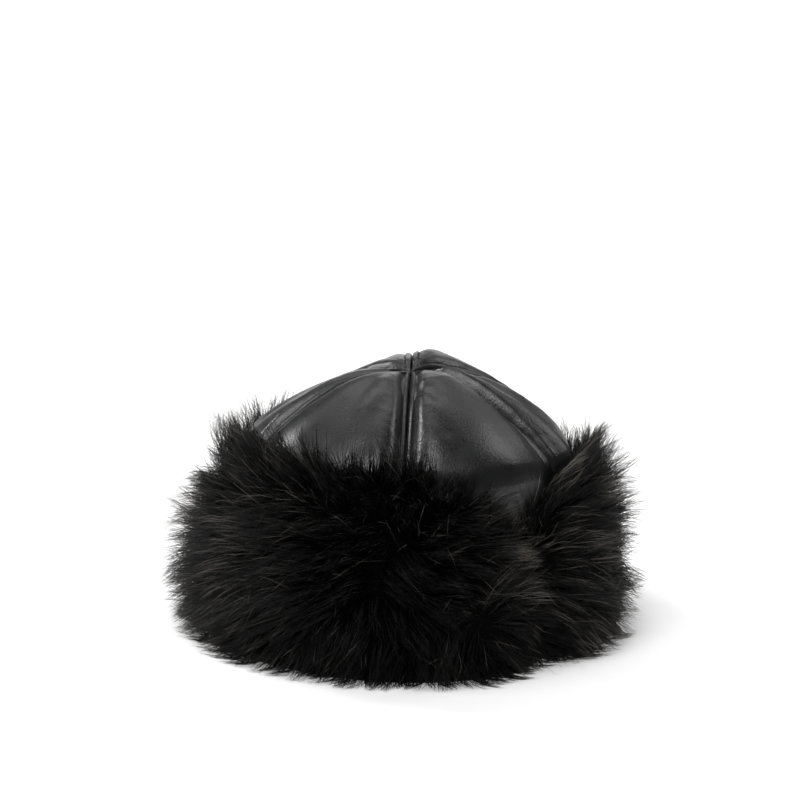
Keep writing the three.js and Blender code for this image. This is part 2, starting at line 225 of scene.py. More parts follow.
# lean is the way that a flap's first and last end slide with their height
FLAPS = rows_of(
    "name from to lean seed",
    ("front_flap", -NOTCH_TURN, NOTCH_TURN, (-1, 1), 3),
    ("ear_flap_left", NOTCH_TURN, 180, (1, 0), 5),
    ("ear_flap_right", 180, 360 - NOTCH_TURN, (0, -1), 8),
)
UNDERCOAT_INSET = 5 * MM
UNDERCOAT_LOW = 0.97
ROOT_INSET = 6 * MM
SEAT_CLEARANCE = 0.5 * MM
UNDERCOAT_STEPS = 60
UNDERCOAT_END = 0.002
INNER_LEVELS = 8
MIDDLING_TURN = 20
# Hairs start this share off a flap's edges, and stay this far off the crown and the floor
EDGE_SHARE = 0.004
CROWN_CLEARANCE = 0.8 * MM
FLOOR_GAP = 0.4 * MM
# The step between turns in the tables of the crown's outside
TABLE_TURN = 2.0

# How the fur lies from the foot (0) to over the crest (1): its way's shares up, out and sideways, and
# its share of the full length
FUR_LIE = rows_of(
    "up rise out side long",
    (0, -0.75, 0.55, 0.6, 0.75),
    (0.15, -0.45, 0.55, 0.85, 0.95),
    (0.35, -0.15, 0.55, 1, 1.05),
    (0.55, 0.1, 0.55, 0.95, 1.05),
    (0.72, 0.4, 0.5, 0.8, 0.95),
    (0.86, 0.85, 0.35, 0.5, 0.85),
    (1, 1, 0.12, 0.25, 0.72),
)
# How far out the fur reaches at each height, and how much less at the front of the right ear flap
FUR_REACH = rows_of(
    "height reach taper",
    (0, 151 * MM, 0),
    (0.02, 159 * MM, 0),
    (0.045, 163 * MM, 0),
    (0.075, 161 * MM, 0),
    (0.1, 157 * MM, 1.1),
    (0.125, 153 * MM, 1.3),
    (0.15, 142 * MM, 1.2),
)
TAPER_TURN = 300
TAPER_WIDTH = 45
TAPER_DEPTH = 14 * MM
# What that varies by, as shares, in waves and by chance, and the share of a hair that always stays
REACH_WAVE = 0.012
REACH_TURNS = (13, 21, 34)
REACH_CHANCE = (-0.03, 0.015)
DRAWN_IN_LENGTH = 0.35
# Beside a notch the front flap's fur is shorter, and the ear flaps' is longer and lies over it
NOTCH_SHORTER = 0.35
NOTCH_WIDTH = 7
EAR_LONGER = 0.4
NOTCH_OVERHANG = 1.1
# Tufts of longer fur, and a swirl in the way it lies, in waves of turn (degrees) and of height
TUFT_SPREAD = 0.25
TUFT_SLANT = 20
TUFT_TWIST = 90
TUFT_WAVES = ((11, 17), (0.31, 0.23))
SWIRL = 0.3
SWIRL_WAVES = ((47, 83, 29), (0.9, 0.55))
# Round this turn the fur is longer, and the middle of the front, darkened by painted shade, is round the
# parting
FULL_TURN = 300
FULL_WIDTH = 48
FULL_LONGER = 0.28
PARTING_TURN = 24
SWEEP_WIDTH = 34
BACK_SWEEP = 0.35
# A whorl low on the front flap, where the fur fans out from one place
WHORL_TURN = 51
WHORL_UP = 0.3
WHORL_REACH = 22 * MM
WHORL_STRENGTH = 1.3

# Two kinds of hair. count is for each square metre, spread is how much lengths differ, stray is the
# share of hairs that stand apart, and tone how much painted sheen the kind may have.
HAIR_KINDS = rows_of(
    "name seed count length width points spread stray tone",
    ("underfur", 8, 125000, 22 * MM, 0.85 * MM, 4, 0.3, 0, 0.12),
    ("guard_hair", 10, 182000, 37 * MM, 0.36 * MM, 5, 0.35, 0.06, 1),
)
# Small locks and large ones: how far apart they are, how strongly they pull their hairs in, how much
# their lengths differ and their share in the hairs' painted sheen
LOCKS = rows_of(
    "spacing pull spread light",
    (6 * MM, 0.6, 0.15, 0.4),
    (15 * MM, 0.5, 0.35, 0.6),
)
# A hair's way is its own and its locks' together. Tilts are in degrees, and bends are shares.
OWN_WAY = 0.45
LOCK_WAY = 0.3
HAIR_TILT = 9
LOCK_TILT = 14
STRAY_SCATTER = 0.5
LOCK_BEND = (0.05, 0.55)
HAIR_BEND = 0.15
HAIR_DROOP = 0.28
# How the locks' pull grows to the tip, how loosely hairs follow it, and their small waves
PULL_POWER = 1.3
FOLLOWING = (0.6, 1)
STRAY_FOLLOWING = 0.1
WAVINESS = 0.35 * MM
# A hair is a three-sided spike, and its map is a cell this many times as tall as wide
HAIR_SIDES = 3
HAIR_WIDTHS = (0.7, 1.25)
HAIR_TAPER = 0.8
HAIR_TAPER_POWER = 1.6
CELL_TALLNESS = 4
CELL_MARGIN = (0.1, 0.04)
# Painted sheen: the locks' share of it, raised from base by chance, a few hairs with much more, strays with
# more, and painted shade at the parting
SHEEN = {"power": 3, "base": 0.2, "chance": 1.5, "rare": 0.6, "rarity": 8, "parting_shade": 0.15, "stray": 0.6}
# Seeds of what no table seeds
SWIRL_SEED = 11
REACH_SEED = 21
TUFT_SEED = 41
ROLL_SEED = 71
# Hairs that the crown would push aside by more than this are cut to a share of their length
LIFT_LIMIT = 5 * MM
LIFTED_LENGTH = 0.55

# The camera that took the photo, as fitted to the hat's seams and outline
CAMERA_TURN = 30
CAMERA_RISE = 17
CAMERA_DISTANCE = 1.4
CAMERA_ROLL = 1.6
VIEW_WIDTH = 0.52
SENSOR_WIDTH = 36
AIM_RIGHT = -0.0066
AIM_UP = 0.141

# The studio's glow as a share of white, by height from the horizon (0) to straight up (1), and its
# soft lamps: where they stand and how wide they are (degrees), and how bright
STUDIO_GLOW = [(0.1, 0.14), (0.55, 0.11), (0.67, 0.02)]
LAMPS = rows_of(
    "name turn rise angle glow",
    ("key", -90, 37, 16, 17),
    ("left_key", 150, 44, 24, 3),
    ("front", 0, 56, 28, 4.5),
    ("front_high", 0, 76, 28, 4),
    ("front_right", -30, 56, 28, 2.5),
    ("front_left", 60, 56, 28, 1.5),
    ("behind_low", -150, 12, 28, 1.1),
    ("behind_right", -120, 56, 28, 1),
    ("behind_middle", -150, 56, 28, 1.3),
    ("behind", 180, 34, 28, 0.5),
    ("behind_high", 180, 56, 28, 0.5),
)
FLOOR_REACH = 200
FLOOR_GLOW = 0.26
# Colours between a place low and a place high in each material's noise
LEATHER_COLORS = [(0.3, (0.004, 0.0042, 0.0045)), (0.7, (0.009, 0.0092, 0.0098))]
THREAD_COLORS = [(0.3, (0.008, 0.008, 0.009)), (0.7, (0.03, 0.03, 0.032))]
# The undercoat's colours are the fur's black, darkened further as painted shade between the hairs
UNDERCOAT_COLORS = [(0.35, (0.0006, 0.0006, 0.0006)), (0.7, (0.003, 0.0026, 0.0022))]
FLOOR_COLORS = [(0.3, (0.9, 0.9, 0.9)), (0.7, (0.93, 0.93, 0.93))]
# The hair's colours from dark, with painted shade at the roots (0), to the painted sheen of its lightest
# tips (1)
HAIR_COLORS = [(0, (0.0006, 0.0006, 0.0005)), (0.25, (0.0034, 0.0032, 0.0028)), (1, (0.44, 0.4, 0.35))]


# Shared shapes

def outward(turn):
    """The way straight out from the middle line at each turn."""
    angle = np.radians(turn)
    return np.stack([np.sin(angle), -np.cos(angle), np.zeros_like(angle)], -1)


def unit(vectors):
    return vectors / np.maximum(np.linalg.norm(vectors, axis=-1, keepdims=True), 1e-12)


def bell(away, reach):
    """1 where away is 0, falling to almost nothing at twice the reach."""
    return np.exp(-((away / reach) ** 2))


def ease(share):
    """A share from 0 to 1 that starts and ends gently."""
    return share * share * (3 - 2 * share)


def signed_turn(turn):
    """The turn from -180 to 180, below 0 on the wearer's right."""
    return np.where(turn > 180, turn - 360, turn)


def from_table(table, key, places, column):
    """Values read smoothly from a table at places in one of its columns."""
    keys = np.array([row[key] for row in table], float)
    values = np.array([row[column] for row in table], float)
    below = np.clip(np.searchsorted(keys, places, side="right") - 1, 0, len(keys) - 2)
    share = np.clip((places - keys[below]) / (keys[below + 1] - keys[below]), 0, 1)
    return values[below] + (values[below + 1] - values[below]) * ease(share)


def wander(seed, places, waves):
    """A smooth wandering number for each place, from a few sine waves of the given lengths."""
    rng = np.random.default_rng(seed)
    total = np.zeros(np.shape(places))
    for length in waves:
        total += np.sin(2 * np.pi * places / length + rng.uniform(0, 2 * np.pi))
    return total / len(waves)


def patches(seed, first, second, waves):
    """Smooth patches over two places, each with its own waves."""
    return wander(seed, first, waves[0]) * wander(seed + 1, second, waves[1])


def new_mesh(name, points, faces, smooth=True):
    """An object from points and faces."""
    mesh = bpy.data.meshes.new(name)
    mesh.from_pydata(points, [], faces)
    mesh.polygons.foreach_set("use_smooth", np.full(len(faces), smooth))
    piece = bpy.data.objects.new(name, mesh)
    bpy.context.scene.collection.objects.link(piece)
    return piece


def loft_faces(rings, count):
    """Triangles between rings of points."""
    ring, side = np.meshgrid(np.arange(rings - 1), np.arange(count), indexing="ij")
    a = (ring * count + side).ravel()
    b = (ring * count + (side + 1) % count).ravel()
    return np.concatenate([np.stack([a, b, b + count], -1), np.stack([a, b + count, a + count], -1)])


def add_values(piece, name, values):
    """A named number for each point of a piece, for its material to read."""
    attribute = piece.data.attributes.new(name, "FLOAT", "POINT")
    attribute.data.foreach_set("value", values.astype(np.float32))


def surface_normal(point, turn, place, end):
    """The way straight off a surface, whose point() takes turns and places from 0 to end."""
    nudge = 0.05
    along = point(turn, np.minimum(place + nudge, end)) - point(turn, np.maximum(place - nudge, 0))
    around = point(turn + 1, place) - point(turn - 1, place)
    return unit(np.cross(around, along))


def rings_round(line, beside, over, radius, sides):
    """Rings of points round lines, with a radius for each point of a line."""
    angle = (np.arange(sides) * 2 * np.pi / sides)[:, None]
    ring = np.cos(angle) * beside[..., None, :] + np.sin(angle) * over[..., None, :]
    return line[..., None, :] + ring * radius[..., None, None]


def dress(piece, material):
    piece.data.materials.append(material)
    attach(piece, ROOT)


# Leather crown

def crown_profile(row):
    """Half width, half length and height of the plain crown, rounded over the shoulder. Rows run
    from the rim (0) over the shoulder (1) to the tip (2)."""
    spread = SHOULDER_SOFTNESS * bell(row - 1, SHOULDER_REACH)
    parts = [weight * np.array(sharp_profile(row + spread * step))
             for step, weight in SHOULDER_WEIGHTS.items()]
    return sum(parts) / sum(SHOULDER_WEIGHTS.values())


def sharp_profile(row):
    """The crown's profile with a sharp turn at the shoulder, as its solids have it."""
    wall = np.clip(row, 0, 1)
    tip_angle = math.asin((TIP_RADIUS / CROWN_HALF_WIDTH) ** (1 / DOME_SHARPNESS))
    angle = np.pi / 2 + (tip_angle - np.pi / 2) * np.clip(row - 1, 0, 1)
    reach = np.sin(angle) ** DOME_SHARPNESS
    rise = np.maximum(np.cos(angle), 0) ** DOME_SHARPNESS
    dimple = DIMPLE_DEPTH * bell(reach * CROWN_HALF_WIDTH, DIMPLE_RADIUS)
    width, length = (
        np.where(row > 1, crown * reach, rim + (crown - rim) * np.sin(wall * np.pi / 2))
        for crown, rim in ((CROWN_HALF_WIDTH, RIM_HALF_WIDTH), (CROWN_HALF_LENGTH, RIM_HALF_LENGTH)))
    height = np.where(row > 1, SHOULDER_HEIGHT + (CROWN_HEIGHT - SHOULDER_HEIGHT) * rise - dimple,
                      RIM_HEIGHT + (SHOULDER_HEIGHT - RIM_HEIGHT) * wall)
    return width, length, height


def slump(turn, row):
    """How far the soft crown has sunk in at each turn and row."""
    share = np.where(row < SLUMP_PLACE, (row - SLUMP_START) / (SLUMP_PLACE - SLUMP_START),
                     (2 - row) / (2 - SLUMP_PLACE))
    fade = np.sin(np.clip(share, 0, 1) * np.pi / 2) ** 2
    return SLUMP_DEPTH * from_table(CROWN_SLUMP, "turn", turn % 360, "sunk") * fade


def crown_point(turn, row):
    """The crown without its panels' puff."""
    width, length, height = crown_profile(row)
    away = outward(turn)
    inwards = unit(-away - UP)
    plain = np.stack([width * away[..., 0], length * away[..., 1], height], -1)
    return plain + inwards * slump(turn, row)[..., None]


def crown_normal(turn, row):
    return surface_normal(crown_point, turn, row, 2)


def wall_fade(row):
    """From nothing at the rim to all at the shoulder and above it."""
    return np.sin(np.minimum(row, 1) * np.pi / 2)


def panel_puff(panel, across, row):
    """How far a panel stands off the plain crown, without its seams."""
    width, _, _ = crown_profile(row)
    tip_fade = np.minimum(width / PUFF_REACH, 1)
    skewed = across + panel["lean"] * (1 - (2 * across - 1) ** 2)
    arch = 1 - np.abs(2 * skewed - 1) ** ARCH_FLATNESS
    return PANEL_PUFF * panel["fullness"] * arch * wall_fade(row) * tip_fade


def seam_share(table, panel, across):
    """The table's value for the seam nearest to each place."""
    before = table[int(panel["middle"] - PANEL_SPAN / 2) % 360]
    after = table[int(panel["middle"] + PANEL_SPAN / 2) % 360]
    return before + (after - before) * np.clip((across - SEAM_BLEND) / (1 - 2 * SEAM_BLEND), 0, 1)


def seam_gathers(panel, across, away, along):
    """Small gathers of the leather, by the distance from the seam and the place along it."""
    before = wander(panel["middle"] + 1, along + GATHER_LEAN * away, GATHER_WAVES[0])
    after = wander(panel["middle"] + 2, along - GATHER_LEAN * away, GATHER_WAVES[1])
    past = np.clip(away - BED_HALF_WIDTH, 0, None)
    fade = np.exp(-past / GATHER_REACH) * np.minimum(past / GATHER_START, 1)
    return GATHER_HEIGHT * np.where(across < 0.5, before, after) * fade


def seam_relief(panel, across, row):
    """The opened seam with its turned-in edges, and the small gathers beside it."""
    width, _, _ = crown_profile(row)
    fade = np.minimum(width / SEAM_FADE, 1) * np.clip(row / RIM_FADE, 0, 1)
    edge_fade = np.minimum(width / EDGE_FADE, 1)
    away = np.minimum(across, 1 - across) * width * PANEL_ANGLE
    along = arc_place(row)
    bank = np.clip((away - BED_HALF_WIDTH) / BANK_WIDTH, 0, 1)
    bed = -BED_DEPTH * seam_share(SEAM_DRAW, panel, across) * (1 - ease(bank))
    groove = -GROOVE_DEPTH * bell(away, GROOVE_WIDTH)
    edge = np.sqrt(np.clip(1 - ((away - EDGE_PLACE) / EDGE_HALF_WIDTH) ** 2, 0, 1))
    edge = EDGE_RISE * seam_share(SEAM_EDGES, panel, across) * edge
    pull = 1 - STITCH_PULL + STITCH_PULL * np.cos(2 * np.pi * along / STITCH_PITCH)
    dip = -STITCH_DIP * pull * bell(away - STITCH_PLACE, STITCH_DIP_WIDTH)
    return (bed + seam_gathers(panel, across, away, along)) * fade + (groove + edge + dip) * edge_fade


def arc_place(row):
    """How far along the seam a row is, in metres from the rim."""
    rows = np.linspace(0, 2, num=201)
    points = crown_point(np.zeros_like(rows), rows)
    steps = np.linalg.norm(np.diff(points, axis=0), axis=1)
    return np.interp(row, rows, np.concatenate([[0], np.cumsum(steps)]))


def flat_place(across, row):
    """Where a place of a panel lies when the panel is laid flat, in metres."""
    width, _, _ = crown_profile(row)
    return (across - 0.5) * width * PANEL_ANGLE, arc_place(row)


def soft_creases(panel, across, row):
    """Folds, dents and broad shallow swells of the soft leather."""
    x, y = flat_place(across, row)
    rise = SWELL_HEIGHT * patches(panel["middle"] + 3, x + SWELL_LEANS[0] * y, y + SWELL_LEANS[1] * x,
                                  SWELL_WAVES)
    for start, end, height, breadth in FOLDS[panel["name"]]:
        x0, y0 = flat_place(*np.array(start))
        x1, y1 = flat_place(*np.array(end))
        share = ((x - x0) * (x1 - x0) + (y - y0) * (y1 - y0)) / ((x1 - x0) ** 2 + (y1 - y0) ** 2)
        near = np.clip(share, 0, 1)
        away = np.hypot(x - x0 - near * (x1 - x0), y - y0 - near * (y1 - y0))
        rise = rise + height * MM * bell(away, breadth * MM)
    width, _, _ = crown_profile(row)
    return rise * wall_fade(row) * np.minimum(width / SEAM_FADE, 1)


def crackle_share(panel, across, row):
    """How crackled the leather is at each place, from 0 to 1."""
    x, y = flat_place(across, row)
    share = np.zeros_like(x)
    for spot, reach in CRACKLES[panel["name"]]:
        x0, y0 = flat_place(*np.array(spot))
        share = np.maximum(share, bell(np.hypot(x - x0, y - y0), reach * MM))
    return share


def panel_turn(panel, across):
    return panel["middle"] + (across - 0.5) * PANEL_SPAN


def panel_point(panel, across, row, stand_off, detail=True):
    turn = panel_turn(panel, across)
    rise = panel_puff(panel, across, row) + stand_off
    if detail:
        rise = rise + seam_relief(panel, across, row) + soft_creases(panel, across, row)
    return crown_point(turn, row) + crown_normal(turn, row) * rise[..., None]


def panel_columns(rows):
    """Places across a panel at each row: at set distances from both seams, then evenly between."""
    width, _, _ = crown_profile(rows)
    wide = width * PANEL_ANGLE
    squeeze = np.minimum(1, SEAM_SHARE * wide / SEAM_COLUMNS[-1])
    near = SEAM_COLUMNS * (squeeze / wide)[:, None]
    share = np.arange(1, MIDDLE_COLUMNS + 1) / (MIDDLE_COLUMNS + 1)
    middle = near[:, -1:] + (1 - 2 * near[:, -1:]) * share
    return np.concatenate([near, middle, 1 - near[:, ::-1]], 1)


def band_faces(outer, inner, start, first):
    """Triangles that close a panel's end between its outer points and its fewer inner ones."""
    under = [start + outer + inner - 1 - k for k in range(inner)]
    faces = [[start + k, under[k // INNER_STEP], start + k + 1] for k in range(outer - 1)]
    faces += [[start + INNER_STEP * (k + 1), under[k], under[k + 1]] for k in range(inner - 1)]
    faces = np.array(faces)
    return faces if first else faces[:, ::-1]


def leather_panel(panel, material):
    rows = np.concatenate([np.linspace(0, 1, WALL_ROWS, endpoint=False), np.linspace(1, 2, DOME_ROWS)])
    across = panel_columns(rows)
    row = np.broadcast_to(rows[:, None], across.shape)
    shift = np.zeros_like(across)
    shift[:, 0] = SEAM_GAP / 2
    shift[:, -1] = -SEAM_GAP / 2
    sideways = outward(panel_turn(panel, across) + 90) * shift[..., None]
    flat = np.zeros_like(across)
    outside = panel_point(panel, across, row, flat) + sideways
    inside = panel_point(panel, across, row, flat - LEATHER_THICKNESS, detail=False) + sideways
    inside = inside[:, ::INNER_STEP]
    rings = np.concatenate([outside, inside[:, ::-1]], 1)
    count, outer, inner = rings.shape[1], outside.shape[1], inside.shape[1]
    faces = np.concatenate([loft_faces(len(rows), count),
                            band_faces(outer, inner, 0, True),
                            band_faces(outer, inner, (len(rows) - 1) * count, False)])
    piece = new_mesh("leather_" + panel["name"], rings.reshape(-1, 3), faces)
    crackled = crackle_share(panel, across, row)
    crackled = np.concatenate([crackled, np.zeros_like(crackled[:, ::INNER_STEP])], 1)
    add_values(piece, "crackle", crackled.ravel())
    dress(piece, material)
    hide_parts("crown_panel_" + panel["name"])


def stitch_rings(panel, edge, row):
    """Rings of points along one stitch over these rows, beside an edge of a panel (0 or 1)."""
    thick, stand = (np.array([part[name] for part in STITCH_SHAPE]) for name in ("thick", "stand"))
    width, _, _ = crown_profile(row)
    across = STITCH_PLACE / (width * PANEL_ANGLE)
    if across.max() > STITCH_ROOM:
        return None
    across = across if edge == 0 else 1 - across
    line = panel_point(panel, across, row, stand * THREAD_RADIUS)
    normal = crown_normal(panel_turn(panel, across), row)
    beside = unit(np.cross(unit(np.gradient(line, axis=0)), normal))
    return rings_round(line, beside, normal, thick * THREAD_RADIUS, THREAD_SIDES)


def stitch_rows(material):
    """Every topstitch as its own short thread, in rows on both sides of each seam."""
    rows = np.linspace(*STITCH_ROWS, num=400)
    places = arc_place(rows)
    ends = np.array([part["along"] for part in STITCH_SHAPE]) * STITCH_LENGTH
    stitches = []
    for panel in PANELS:
        for edge in (0, 1):
            for middle in np.arange(places[0], places[-1], STITCH_PITCH):
                rings = stitch_rings(panel, edge, np.interp(middle + ends, places, rows))
                if rings is not None:
                    stitches.append(rings.reshape(-1, 3))
    cap = np.array([[0, k + 1, k] for k in range(1, THREAD_SIDES - 1)])
    last_ring = (len(ends) - 1) * THREAD_SIDES
    one = np.concatenate([loft_faces(len(ends), THREAD_SIDES), cap, last_ring + cap[:, ::-1]])
    starts = np.arange(len(stitches)) * len(stitches[0])
    faces = (starts[:, None, None] + one[None]).reshape(-1, 3)
    piece = new_mesh("topstitching", np.concatenate(stitches), faces)
    dress(piece, material)


# Fur

def crown_outside():
    """Tables of the crown's outside over the turns: its height at each reach, and its reach at
    each height."""
    turns = np.arange(0, 360, TABLE_TURN)
    rows = np.linspace(0, 2, num=161)
    reaches = np.arange(0, CROWN_HALF_LENGTH + 2 * PANEL_PUFF, MM)
    levels = np.arange(0, CROWN_HEIGHT + 2 * PANEL_PUFF, MM)
    height_at = np.zeros((len(turns), len(reaches)))
    reach_at = np.zeros((len(turns), len(levels)))
    for index, turn in enumerate(turns):
        panel = PANELS[int(((turn + PANEL_SPAN / 2) % 360) // PANEL_SPAN)]
        across = ((turn + PANEL_SPAN / 2) % PANEL_SPAN) / PANEL_SPAN
        line = panel_point(panel, np.full_like(rows, across), rows, np.zeros_like(rows), detail=False)
        reach = np.hypot(line[:, 0], line[:, 1])
        widest = reach.argmax()
        highest = line[:, 2].argmax()
        height_at[index] = np.interp(reaches, reach[:widest - 1:-1], line[:widest - 1:-1, 2], right=0)
        reach_at[index] = np.interp(levels, line[:highest + 1, 2], reach[:highest + 1], right=0)
    return height_at, reach_at


CROWN_HEIGHT_AT, CROWN_REACH_AT = crown_outside()


def turn_of(points):
    return np.degrees(np.arctan2(points[..., 0], -points[..., 1])) % 360


def table_step(turn):
    return (turn / TABLE_TURN).astype(int) % len(CROWN_HEIGHT_AT)


def clear_of_crown(points):
    """Points that would lie in the crown are moved out of it, sideways or up, the shorter way."""
    step = table_step(turn_of(points))
    reach = np.hypot(points[..., 0], points[..., 1])
    level = np.clip((points[..., 2] / MM).astype(int), 0, CROWN_REACH_AT.shape[1] - 1)
    out = CROWN_REACH_AT[step, level] + CROWN_CLEARANCE - reach
    place = np.clip((reach / MM).astype(int), 0, CROWN_HEIGHT_AT.shape[1] - 1)
    up = CROWN_HEIGHT_AT[step, place] + CROWN_CLEARANCE - points[..., 2]
    inside = (out > 0) & (up > 0)
    sideways = inside & (out < up)
    moved = points.copy()
    grown = np.where(sideways, (reach + out) / np.maximum(reach, MM), 1)
    moved[..., :2] *= grown[..., None]
    moved[..., 2] += np.where(inside & ~sideways, up, 0)
    return moved


def fur_outline(turn):
    """Reach and height of the undercoat's outline points at each turn, from foot to inner crest."""
    turn = np.asarray(turn, float)
    signed = signed_turn(turn)
    read = {key: from_table(FUR_SECTIONS, "turn", np.abs(signed), key)
            for key in ("foot", "belly", "crest", "top")}
    away = outward(turn)
    crown = np.hypot(CROWN_HALF_WIDTH * away[:, 0], CROWN_HALF_LENGTH * away[:, 1])
    along_ear = np.clip((-signed - NOTCH_TURN) / (180 - NOTCH_TURN), 0, 1)
    height = FLAP_HEIGHT * read["top"] * (1 - RIGHT_EAR_DROP * np.sin(np.pi * along_ear))
    outs, ups = [], []
    for row in FUR_OUTLINE:
        start = read["foot"] if row["out"] <= 1 else read["crest"]
        share = row["out"] if row["out"] <= 1 else 2 - row["out"]
        outs.append(crown + FLAP_DEPTH * (start + (read["belly"] - start) * share))
        ups.append(height * row["up"])
    outs.append(outs[-1] - CREST_WIDTH)
    ups.append(ups[-1] * (1 - CREST_DROP))
    return np.stack(outs, -1), np.stack(ups, -1)


def outline_places():
    """How far up the outline each of its points is, as shares, on a middling section."""
    out, up = fur_outline(np.array([MIDDLING_TURN]))
    steps = np.hypot(np.diff(out[0]), np.diff(up[0]))
    places = np.concatenate([[0], np.cumsum(steps)])
    return places / places[-1], places[-1]


OUTLINE_PLACES, OUTLINE_LENGTH = outline_places()


def place_at(turn, reach, level):
    """Points at these turns, distances from the middle line and heights."""
    return outward(turn) * reach[:, None] + UP * level[:, None]


def fur_point(turn, up):
    """Points on the undercoat's outside at each turn, up from the foot (0) over the crest (1)."""
    out, height = fur_outline(turn)
    place = np.clip(up, 0, 1)
    below = np.clip(np.searchsorted(OUTLINE_PLACES, place, side="right") - 1, 0,
                    len(OUTLINE_PLACES) - 2)
    share = (place - OUTLINE_PLACES[below]) / (OUTLINE_PLACES[below + 1] - OUTLINE_PLACES[below])
    pick = np.arange(len(turn))
    reach = out[pick, below] * (1 - share) + out[pick, below + 1] * share
    level = height[pick, below] * (1 - share) + height[pick, below + 1] * share
    return place_at(turn, reach, level)


def fur_normal(turn, up):
    return surface_normal(fur_point, turn, up, 1)


def flap_turn(flap, share, height):
    """The turn at a share of the way along a flap, whose ends lean at the notches."""
    lean = math.degrees(math.tan(math.radians(NOTCH_LEAN)) / (CROWN_HALF_WIDTH + FLAP_DEPTH))
    slide = lean * (FLAP_HEIGHT / 2 - height)
    start = flap["from"] + flap["lean"][0] * slide
    end = flap["to"] + flap["lean"][1] * slide
    return start + (end - start) * share


def undercoat(flap, material):
    """The dense fur near the backing, as a plain body that the hairs stand in, black and darkened further as
    painted shade.
    """
    rings = []
    for share in np.linspace(UNDERCOAT_END, 1 - UNDERCOAT_END, UNDERCOAT_STEPS):
        middle = flap_turn(flap, share, FLAP_HEIGHT / 2)
        out, up = fur_outline(np.array([middle]))
        out, up = out[0] - UNDERCOAT_INSET, up[0] * UNDERCOAT_LOW
        levels = np.linspace(up[-1], RIM_HEIGHT, INNER_LEVELS)
        step = table_step(np.full(len(levels), middle % 360))
        inner = CROWN_REACH_AT[step, (levels / MM).astype(int)] + SEAT_CLEARANCE + MM
        out[-1] = max(out[-1], inner[0] + MM)
        hole = np.hypot(*(outward(np.array([middle]))[0, :2]
                          * [RIM_HALF_WIDTH - LEATHER_THICKNESS, RIM_HALF_LENGTH - LEATHER_THICKNESS]))
        reach = np.concatenate([out, inner, [hole, hole]])
        level = np.concatenate([up, levels, [RIM_HEIGHT - SEAT_CLEARANCE, 0]])
        turns = flap_turn(flap, share, level)
        rings.append(place_at(turns, reach, level))
    rings = np.array(rings)[:, ::-1]
    count = rings.shape[1]
    faces = loft_faces(UNDERCOAT_STEPS, count)
    flat = [Vector((math.hypot(x, y), z, 0)) for x, y, z in rings[0]]
    ends = np.array(tessellate_polygon([flat]))
    first, second, third = (flat[k] for k in ends[0])
    turned = (second - first).cross(third - first).z < 0
    start_ends = ends if turned else ends[:, ::-1]
    last_ring = (UNDERCOAT_STEPS - 1) * count
    faces = np.concatenate([faces, start_ends, last_ring + start_ends[:, ::-1]])
    piece = new_mesh("undercoat_" + flap["name"], rings.reshape(-1, 3), faces)
    dress(piece, material)
    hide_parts(flap["name"])


def fur_sweep(turn):
    """How far the fur lies over sideways: -1 towards the wearer's right, 1 towards the left."""
    signed = signed_turn(turn)
    from_back = np.minimum((180 - np.abs(signed)) / SWEEP_WIDTH, 1)
    return np.tanh((signed - PARTING_TURN) / SWEEP_WIDTH) * (BACK_SWEEP + (1 - BACK_SWEEP) * from_back)


def fur_direction(turn, up, rng, tilt):
    """The way each hair leaves the undercoat, with a random tilt of about that many degrees."""
    lie = {key: from_table(FUR_LIE, "up", up, key) for key in ("rise", "out", "side")}
    root = fur_point(turn, up)
    sideways = outward(turn + 90)
    signed = signed_turn(turn)
    swirl = SWIRL * patches(SWIRL_SEED, signed, up, SWIRL_WAVES)
    past_notch = np.abs(signed) - NOTCH_TURN
    over = NOTCH_OVERHANG * bell(past_notch, NOTCH_WIDTH) * (past_notch > 0) * up
    side = lie["side"] * (fur_sweep(turn) + swirl) - np.sign(signed) * over
    direction = (outward(turn) * lie["out"][:, None]
                 + sideways * side[:, None]
                 + UP * (lie["rise"] + swirl)[:, None])
    centre = fur_point(np.array([float(WHORL_TURN)]), np.array([WHORL_UP]))
    from_whorl = root - centre
    distance = np.linalg.norm(from_whorl, axis=1, keepdims=True)
    direction = direction + WHORL_STRENGTH * bell(distance, WHORL_REACH) * unit(from_whorl)
    return unit(unit(direction) + rng.normal(0, math.radians(tilt), direction.shape))


def hair_path(root, direction, normal, length, count, bend):
    """Points along each hair, which bends down and towards the fur it lies over."""
    points = [root]
    step = (length / (count - 1))[:, None]
    for index in range(count - 1):
        share = (index + 0.5) / (count - 1)
        heading = direction - normal * (bend * share)[:, None] - UP * (HAIR_DROOP * share)
        points.append(points[-1] + unit(heading) * step)
    return np.stack(points, 1)


def length_share(turn, up):
    """How long the fur is at each place, as a share of its full length."""
    signed = signed_turn(turn % 360)
    past_notch = np.abs(signed) - NOTCH_TURN
    beside_notch = bell(past_notch, NOTCH_WIDTH) * np.where(past_notch < 0, 1, -EAR_LONGER * up)
    tufts = patches(TUFT_SEED, signed + TUFT_SLANT * up, up - signed / TUFT_TWIST, TUFT_WAVES)
    tufts = 1 + TUFT_SPREAD * tufts
    fuller = 1 + FULL_LONGER * bell(turn % 360 - FULL_TURN, FULL_WIDTH)
    return from_table(FUR_LIE, "up", up, "long") * (1 - NOTCH_SHORTER * beside_notch) * tufts * fuller


